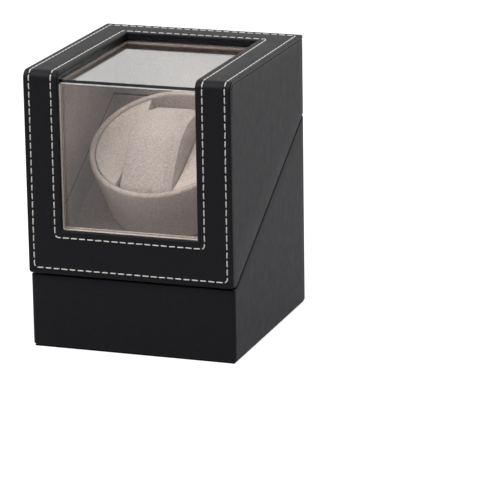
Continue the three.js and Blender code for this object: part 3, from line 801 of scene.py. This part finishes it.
def make_lid_shell():
    """The lid's side and back walls as one wrap, open at the front where the facing covers it."""
    lip, roll = 0.9 * MM, 0.7 * MM
    profile = [(i, ("foot", h)) for i, h in arc(lip, lip, lip, 270, 180, 4)]
    profile += [(0.0, ("share", t)) for t in (0.2, 0.4, 0.6, 0.8)]
    profile += [(i, ("head", -h)) for i, h in arc(roll, roll, roll, 180, 270, 4)]
    profile += [(BOARD, ("head", 0.0)), (BOARD, ("foot", 0.5 * MM)), (BOARD - 0.5 * MM, ("foot", 0.0))]
    front = -BACK
    columns = []
    for inset, (kind, value) in profile:
        corners = outline(inset)
        right_back, left_back = corners[1], corners[2]
        x, y_end = SIDE - inset, right_back[0][1]
        path = [(x, front + (y_end - front) * t) for t in [0.0, *SIDE_STOPS]]
        path += right_back
        (x0, y0), (x1, y1) = right_back[-1], left_back[0]
        path += [(x0 + (x1 - x0) * t, y0 + (y1 - y0) * t) for t in BACK_STOPS]
        path += left_back
        path += [(-x, front + (y_end - front) * t) for t in [*reversed(SIDE_STOPS), 0.0]]
        column = []
        for px, py in path:
            low, high = lid_foot(px, py), lid_top(py)
            z = {"foot": low + value, "head": high + value,
                 "share": low + lip + (high - low - lip - roll) * value}[kind]
            out = soft_wave(px, py, z, 0.025 * MM) if inset == 0 else 0.0
            column.append(Vector((px * (1 + out / SIDE), py, z)))
        columns.append(column)
    rings = [[column[k] for column in columns] for k in range(len(columns[0]))]
    vertices, faces = loft(rings)
    made = piece("lid_leather", vertices, faces, LEATHER)
    sharpen(made, 40)
    settle(made, "lid", "leather_black", "lid_left_wall", "lid_right_wall", "lid_back_wall")


# ---------------------------------------------------------------- drum


def on_drum(points):
    return [DRUM @ Vector(p) for p in points]


def wavy(points, size, scale):
    """Moves drum points in and out a little, as cloth glued to a form does."""
    moved = []
    for p in points:
        out = Vector((p.x, p.y, 0))
        push = size * noise.noise(p * scale)
        moved.append(p + out.normalized() * push if out.length > 1e-6 else p)
    return moved


def make_cup():
    rim_radius, rim_height, rim = 44.7, 31.5, 1.6
    foot, floor = -9.0, -6.0
    profile = [(0, foot), (20, foot), (38.6, foot)]
    profile += arc(38.6, foot + 2.4, 2.4, -90, -5, 5)
    for t in (0.2, 0.4, 0.6, 0.8):
        profile.append((41 + (rim_radius - 41) * t, foot + 2.4 + (rim_height - foot - 4) * t))
    profile += arc(rim_radius - rim, rim_height - rim, rim, 0, 180, 10)
    profile += [(rim_radius - 3.2 - 3.6 * t, rim_height - rim + (floor - rim_height + rim) * t)
                for t in (0.2, 0.5, 1.0)]
    profile += [(20, floor), (0, floor)]
    vertices, faces = revolve([(r * MM, h * MM) for r, h in profile], 144)
    vertices = wavy(vertices, 0.10 * MM, 70)
    made = piece("drum_cup_velvet", on_drum(vertices), faces, VELVET)
    sharpen(made, 60)
    settle(made, "turntable", "velvet_cream", "drum_cup")


def make_insert(name, node, left, right):
    """One of the two padded boards in the cup: a soft-edged, slightly dished part of a disc."""
    edge, foot = 41.0, 20.2
    profile = [(0, foot), (edge - 1.4, foot), (edge - 0.9, foot + 0.6), (edge, 29.4)]
    profile += [(edge - 0.15, 30.0), (edge - 0.6, 30.35), (edge - 1.4, 30.3)]
    profile += [(edge - 3, 29.9), (34, 28.9), (26, 28.1), (14, 27.7), (0, 27.6)]
    vertices, faces = revolve([(r * MM, h * MM) for r, h in profile], 128)
    made = piece(name, vertices, faces, LIT_INSERT_VELVET)
    reach = 50 * MM
    carve(made, block(left * MM, right * MM, -reach, reach, 0, reach))
    bevel = made.modifiers.new("edge", "BEVEL")
    bevel.width = 0.7 * MM
    bevel.segments = 3
    bevel.limit_method = "ANGLE"
    bevel.angle_limit = math.radians(50)
    apply_modifiers(made)
    made.data.transform(DRUM)
    made.data.polygons.foreach_set("use_smooth", [True] * len(made.data.polygons))
    sharpen(made, 60)
    settle(made, "turntable", "velvet_cream", node)


# ---------------------------------------------------------------- watch cushion

PILLOW_LEFT = -18.6
PILLOW_RIGHT = 16.2
PILLOW_FRONT_REACH = 39.6
PILLOW_REAR_REACH = 32.6
PILLOW_CREST = 43.3
PILLOW_SHOULDER = 27.0
PILLOW_FOOT = -5.0


# The cup's inside widens upwards from its foot, and the cushion keeps clear of it
CUP_FOOT = -9.0
CUP_FOOT_RADIUS = 38.2
CUP_FLARE = 0.091
CUSHION_CLEARANCE = 0.7


def seat_radius(height):
    """How far the cushion may reach from the drum's axis at a height above the parting plane."""
    return CUP_FOOT_RADIUS + CUP_FLARE * (height - CUP_FOOT) - CUSHION_CLEARANCE


def pillow_ring(x, shrink, steps=40):
    """One closed outline across the cushion at width x, in the drum's plane, in millimetres."""
    points = []
    for i in range(steps + 1):
        along = math.cos(math.pi * i / steps)
        reach, fullness = (PILLOW_REAR_REACH, 0.8) if along > 0 else (PILLOW_FRONT_REACH, 1.1)
        swell = max(0.0, math.cos(math.pi / 2 * along)) ** fullness
        height = PILLOW_SHOULDER + (PILLOW_CREST - PILLOW_SHOULDER) * swell
        points.append((reach * along, height - shrink))
    first, last = points[0][0], points[-1][0]
    points += [(last, PILLOW_SHOULDER * t) for t in (0.7, 0.3)]
    points += [(last + (first - last) * t, PILLOW_FOOT + shrink) for t in (0, 0.25, 0.5, 0.75, 1)]
    points += [(first, PILLOW_SHOULDER * t) for t in (0.3, 0.7)]
    ring = []
    for u, n in points:
        reach = math.sqrt(max(1.0, (seat_radius(n) - shrink) ** 2 - x * x))
        ring.append(Vector((x, max(-reach, min(reach, u)), n)))
    return ring


def remeshed(made, voxel):
    remesh = made.modifiers.new("remesh", "REMESH")
    remesh.mode = "VOXEL"
    remesh.voxel_size = voxel
    apply_modifiers(made)


def inflate(made, cap, frames=20):
    """Cloth simulation with pressure and no gravity; no point moves further than the cap."""
    rest = [v.co.copy() for v in made.data.vertices]
    cloth = made.modifiers.new("cloth", "CLOTH")
    settings = cloth.settings
    settings.quality = 6
    settings.use_pressure = True
    settings.uniform_pressure_force = 4
    settings.effector_weights.gravity = 0
    settings.tension_stiffness = 12
    settings.compression_stiffness = 12
    settings.bending_stiffness = 0.3
    for number in range(1, frames + 1):
        SCENE.frame_set(number)
    apply_modifiers(made)
    SCENE.frame_set(1)
    for vertex, start in zip(made.data.vertices, rest):
        move = vertex.co - start
        if move.length > cap:
            vertex.co = start + move.normalized() * cap


def make_pillow():
    """Simulated ten times too large, because cloth is steadier there, then brought to size."""
    large = 10 * MM
    middle, half = (PILLOW_LEFT + PILLOW_RIGHT) / 2, (PILLOW_RIGHT - PILLOW_LEFT) / 2 - 0.9
    rings = []
    for t, shrink in ((-1, 1.3), (-0.975, 0.6), (-0.93, 0.2), (-0.6, 0.05), (0, 0),
                      (0.6, 0.05), (0.93, 0.2), (0.975, 0.6), (1, 1.3)):
        rings.append([p * large for p in pillow_ring(middle + t * half, shrink)])
    made = piece("watch_cushion", *loft(rings), PILLOW_VELVET)
    remeshed(made, 1.5 * large)
    inflate(made, 1.0 * large)
    subdivide = made.modifiers.new("smooth", "SUBSURF")
    subdivide.levels = subdivide.render_levels = 1
    apply_modifiers(made)
    for vertex in made.data.vertices:
        p = vertex.co * 0.1
        p.x = max((PILLOW_LEFT - 0.2) * MM, min((PILLOW_RIGHT + 0.2) * MM, p.x))
        p.z = max((PILLOW_FOOT - 0.6) * MM, p.z)
        radius, reach = math.hypot(p.x, p.y), (seat_radius(p.z / MM) + 0.3) * MM
        if radius > reach:
            p.x, p.y = p.x * reach / radius, p.y * reach / radius
        vertex.co = DRUM @ p
    made.data.polygons.foreach_set("use_smooth", [True] * len(made.data.polygons))
    settle(made, "pillow", "pillow_velvet", "watch_pillow")
    return made


def make_pillow_seams(cushion):
    """The seams where the cushion's end panels are sewn in: a thin rolled edge on each side."""
    tree = BVHTree.FromPolygons([v.co.copy() for v in cushion.data.vertices],
                                [tuple(p.vertices) for p in cushion.data.polygons])
    for edge, name in ((PILLOW_LEFT + 0.5, "left"), (PILLOW_RIGHT - 0.5, "right")):
        path = []
        for p in pillow_ring(edge, 0.4, 60):
            if p.z > 27:
                hit, normal, _, _ = tree.find_nearest(DRUM @ (p * MM))
                path.append(hit - normal * 0.12 * MM)
        rings = []
        for i, p in enumerate(path):
            along = (path[min(i + 1, len(path) - 1)] - path[max(i - 1, 0)]).normalized()
            across = along.cross(Vector((1, 0, 0))).normalized()
            out = along.cross(across)
            rings.append([p + (across * math.cos(a) + out * math.sin(a)) * 0.38 * MM
                          for a in (2 * math.pi * k / 8 for k in range(8))])
        made = piece(f"cushion_seam_{name}", *loft(rings), PILLOW_VELVET)
        settle(made, "pillow", "pillow_velvet")


# ---------------------------------------------------------------- window trim


def swept(path, half_width, half_depth):
    """A flat strip along points in a plane at constant y: thin across, deep along y."""
    rings = []
    for i, p in enumerate(path):
        along = (path[min(i + 1, len(path) - 1)] - path[max(i - 1, 0)]).normalized()
        side = Vector((along.z, 0, -along.x)) * half_width
        deep = Vector((0, half_depth, 0))
        rings.append([p + side + deep, p + side - deep, p - side - deep, p - side + deep])
    return loft(rings)


def make_window_edging():
    """A pale velvet strip round the front window's sides and foot, between the leather and the pane: a
    painted highlight for the bright glint of the pane's edge.
    """
    half, foot = WINDOW_HALF - 0.15 * MM, WINDOW_FOOT + 0.15 * MM
    y, head, r = -BACK + 1.05 * MM, TOP - 7.5 * MM, 0.8 * MM
    path = [Vector((-half, y, head)), Vector((-half, y, foot + 20 * MM))]
    path += [Vector((x, y, z)) for x, z in arc(-half + r, foot + r, r, 180, 270, 5)]
    path += [Vector((x, y, z)) for x, z in arc(half - r, foot + r, r, 270, 360, 5)]
    path += [Vector((half, y, foot + 20 * MM)), Vector((half, y, head))]
    made = piece("window_glint_strip", *swept(path, 0.16 * MM, 0.95 * MM), GLINT_EDGING)
    sharpen(made, 50)
    settle(made, "lid", "velvet_cream")


BEAD_SECTION = ((0.12, 0.34), (-0.08, 0.38), (-0.24, 0.16), (-0.24, -0.2), (-0.08, -0.42), (0.12, -0.38))


def make_pane_joint():
    """The milky bead of cement along the edge where the two panes meet; its pale colour also paints the
    bright glint along that edge.
    """
    y, z, reach = PANE_LO.y, PANE_HI.z + 0.1 * MM, WINDOW_HALF - 0.05 * MM
    rings = []
    for k in range(61):
        x = -reach + 2 * reach * k / 60
        swell = 1 + 0.15 * noise.noise(Vector((x * 180, 0, 0)))
        rings.append([Vector((x, y + a * MM, z + b * MM * swell)) for a, b in BEAD_SECTION])
    made = piece("pane_joint_glint", *loft(rings), CEMENT_AND_GLINT)
    settle(made, "lid", "acrylic_clear")


def make_lining_gaps():
    """A black strip in the gap between the lid's lining board and the base's lining: painted shade for the
    dark line of that gap.
    """
    for node, name in (("lid_lining_left", "left"), ("lid_lining_right", "right")):
        lo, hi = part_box(node)
        face, behind = (hi.x, hi.x - MM) if name == "left" else (lo.x, lo.x + MM)
        start, end = lo.y + 1 * MM, hi.y - 1.5 * MM
        rings = []
        for k in range(25):
            y = start + (end - start) * k / 24
            low = SPLIT_AT_ORIGIN + SLOPE * y + 7.6 * MM / DRUM_AXIS.z
            high = SPLIT_AT_ORIGIN + SLOPE * y + 8.3 * MM / DRUM_AXIS.z
            rings.append([Vector((x, y, z)) for x, z in (
                (face, low), (behind, low), (behind, high), (face, high))])
        made = piece(f"lining_gap_shade_{name}", *loft(rings), FELT_AND_SHADE)
        sharpen(made, 40)
        settle(made, "lid", "felt_black")


# ---------------------------------------------------------------- hinge screws


def make_screws():
    """Raised countersunk heads with a cross recess."""
    for half in ("base", "lid"):
        for number in range(1, 5):
            node = f"hinge_screw_{half}_{number}"
            lo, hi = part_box(node)
            x, z = (lo.x + hi.x) / 2, (lo.z + hi.z) / 2
            seat, tip = hi.y - 0.7 * MM, lo.y
            profile = [(0, tip - seat), (0.5 * MM, tip - seat + 0.4 * MM)]
            for i in range(9):
                at = tip - seat + (0.8 + 0.5 * i) * MM
                profile += [((0.9 if i % 2 else 0.66) * MM, at)]
            profile += [(0.9 * MM, 0.0), (1.8 * MM, 0.0)]
            profile += [(1.8 * MM * math.cos(a), 0.68 * MM * math.sin(a))
                        for a in (math.radians(15 * k) for k in range(1, 6))]
            profile += [(0, 0.7 * MM)]
            vertices, faces = revolve(profile, 28)
            made = piece(node + "_head", vertices, faces, NICKEL)
            for wide, tall in ((0.95, 0.22), (0.22, 0.95)):
                carve(made, block(-wide * MM, wide * MM, -tall * MM, tall * MM, 0.3 * MM, 1.2 * MM))
            spin = Matrix.Rotation(math.radians(17 + 31 * number), 4, "Z")
            stand = Matrix.Translation((x, seat, z)) @ Matrix.Rotation(-math.pi / 2, 4, "X") @ spin
            made.data.transform(stand)
            sharpen(made, 40)
            settle(made, half, "hinge_nickel", node)


# ---------------------------------------------------------------- camera, light and floor

CAMERA_AZIMUTH = math.radians(19.087)
CAMERA_ELEVATION = math.radians(16.047)
CAMERA_ROLL = math.radians(-0.820)
CAMERA_DISTANCE = 1.88687
CAMERA_LENS = 231.06
CAMERA_OFFSET = (0.047387, -0.035950)
CAMERA_AIM = Vector((0, 0, 0.0825))


def make_camera():
    a, e, r = CAMERA_AZIMUTH, CAMERA_ELEVATION, CAMERA_ROLL
    back = Vector((math.sin(a) * math.cos(e), -math.cos(a) * math.cos(e), math.sin(e)))
    level = Vector((math.cos(a), math.sin(a), 0))
    upright = back.cross(level)
    right = level * math.cos(r) + upright * math.sin(r)
    up = upright * math.cos(r) - level * math.sin(r)
    data = bpy.data.cameras.new("camera")
    data.sensor_width = 36
    data.lens = CAMERA_LENS
    data.clip_start, data.clip_end = 0.1, 50
    camera = bpy.data.objects.new("camera", data)
    SCENE.collection.objects.link(camera)
    place = CAMERA_AIM + right * CAMERA_OFFSET[0] + up * CAMERA_OFFSET[1] + back * CAMERA_DISTANCE
    turn = Matrix((right, up, back)).transposed().to_4x4()
    camera.matrix_world = Matrix.Translation(place) @ turn
    SCENE.camera = camera


def softbox(name, place, aim, width, height, power):
    data = bpy.data.lights.new(name, "AREA")
    data.shape = "RECTANGLE"
    data.size, data.size_y = width, height
    data.energy = power
    lamp = bpy.data.objects.new(name, data)
    SCENE.collection.objects.link(lamp)
    direction = Vector(aim) - Vector(place)
    lamp.matrix_world = (Matrix.Translation(place)
                         @ direction.to_track_quat("-Z", "Y").to_matrix().to_4x4())
    lamp.visible_camera = False


def make_world():
    """Bright above and behind the object, dim in front; the camera itself sees plain white."""
    world = bpy.data.worlds.new("studio")
    SCENE.world = world
    world.use_nodes = True
    tree = world.node_tree
    tree.nodes.clear()
    add, link = tree.nodes.new, tree.links.new
    place = add("ShaderNodeTexCoord")
    parts = add("ShaderNodeSeparateXYZ")
    link(place.outputs["Generated"], parts.inputs[0])
    total = add("ShaderNodeMath")
    for number, (axis, start, end, low, high) in enumerate((
            ("Y", 0.2, 0.85, 0.08, 0.50), ("Z", 0.35, 1.0, 0.0, 1.25))):
        ramp = add("ShaderNodeMapRange")
        ramp.interpolation_type = "SMOOTHSTEP"
        for key, value in (("From Min", start), ("From Max", end), ("To Min", low), ("To Max", high)):
            ramp.inputs[key].default_value = value
        link(parts.outputs[axis], ramp.inputs["Value"])
        link(ramp.outputs["Result"], total.inputs[number])
    light = add("ShaderNodeBackground")
    light.inputs["Color"].default_value = (1, 1, 1, 1)
    link(total.outputs[0], light.inputs["Strength"])
    seen = add("ShaderNodeBackground")
    seen.inputs["Color"].default_value = (1, 1, 1, 1)
    path = add("ShaderNodeLightPath")
    mix = add("ShaderNodeMixShader")
    link(path.outputs["Is Camera Ray"], mix.inputs[0])
    link(light.outputs[0], mix.inputs[1])
    link(seen.outputs[0], mix.inputs[2])
    out = add("ShaderNodeOutputWorld")
    link(mix.outputs[0], out.inputs["Surface"])


def make_stage():
    reach = 6.0
    floor = piece("floor", [(-reach, -reach, 0), (reach, -reach, 0), (reach, reach, 0), (-reach, reach, 0)],
                  [(0, 1, 2, 3)], floor_white())
    softbox("key", (-0.45, -0.85, 1.2), (0, 0, 0.08), 1.1, 1.1, 11.5)
    softbox("behind", (-0.94, 2.73, 0.99), (0, 0, 0.16), 0.9, 0.8, 1.25)
    softbox("side", (0.9, 1.5, 0.45), (0, 0, 0.08), 0.9, 0.7, 5.8)
    SCENE.view_settings.view_transform = "Standard"


# ---------------------------------------------------------------- the whole

make_camera()
make_world()
make_stage()
dress_frame()
make_base_shell()
make_lid_shell()
make_facing()
make_stitches("stitching_outer", SIDE - OUTER_SEAM, OUTER_SEAM, RUN - OUTER_SEAM, 3)
make_stitches("stitching_inner", WINDOW_HALF + INNER_SEAM, WINDOW_START - INNER_SEAM,
              WINDOW_END + INNER_SEAM, 4)
make_cup()
make_insert("insert_velvet_left", "cup_insert_left", PILLOW_LEFT - 0.6, 60)
make_insert("insert_velvet_right", "cup_insert_right", -60, PILLOW_RIGHT + 0.6)
make_window_edging()
make_pane_joint()
make_lining_gaps()
make_pillow_seams(make_pillow())
make_screws()
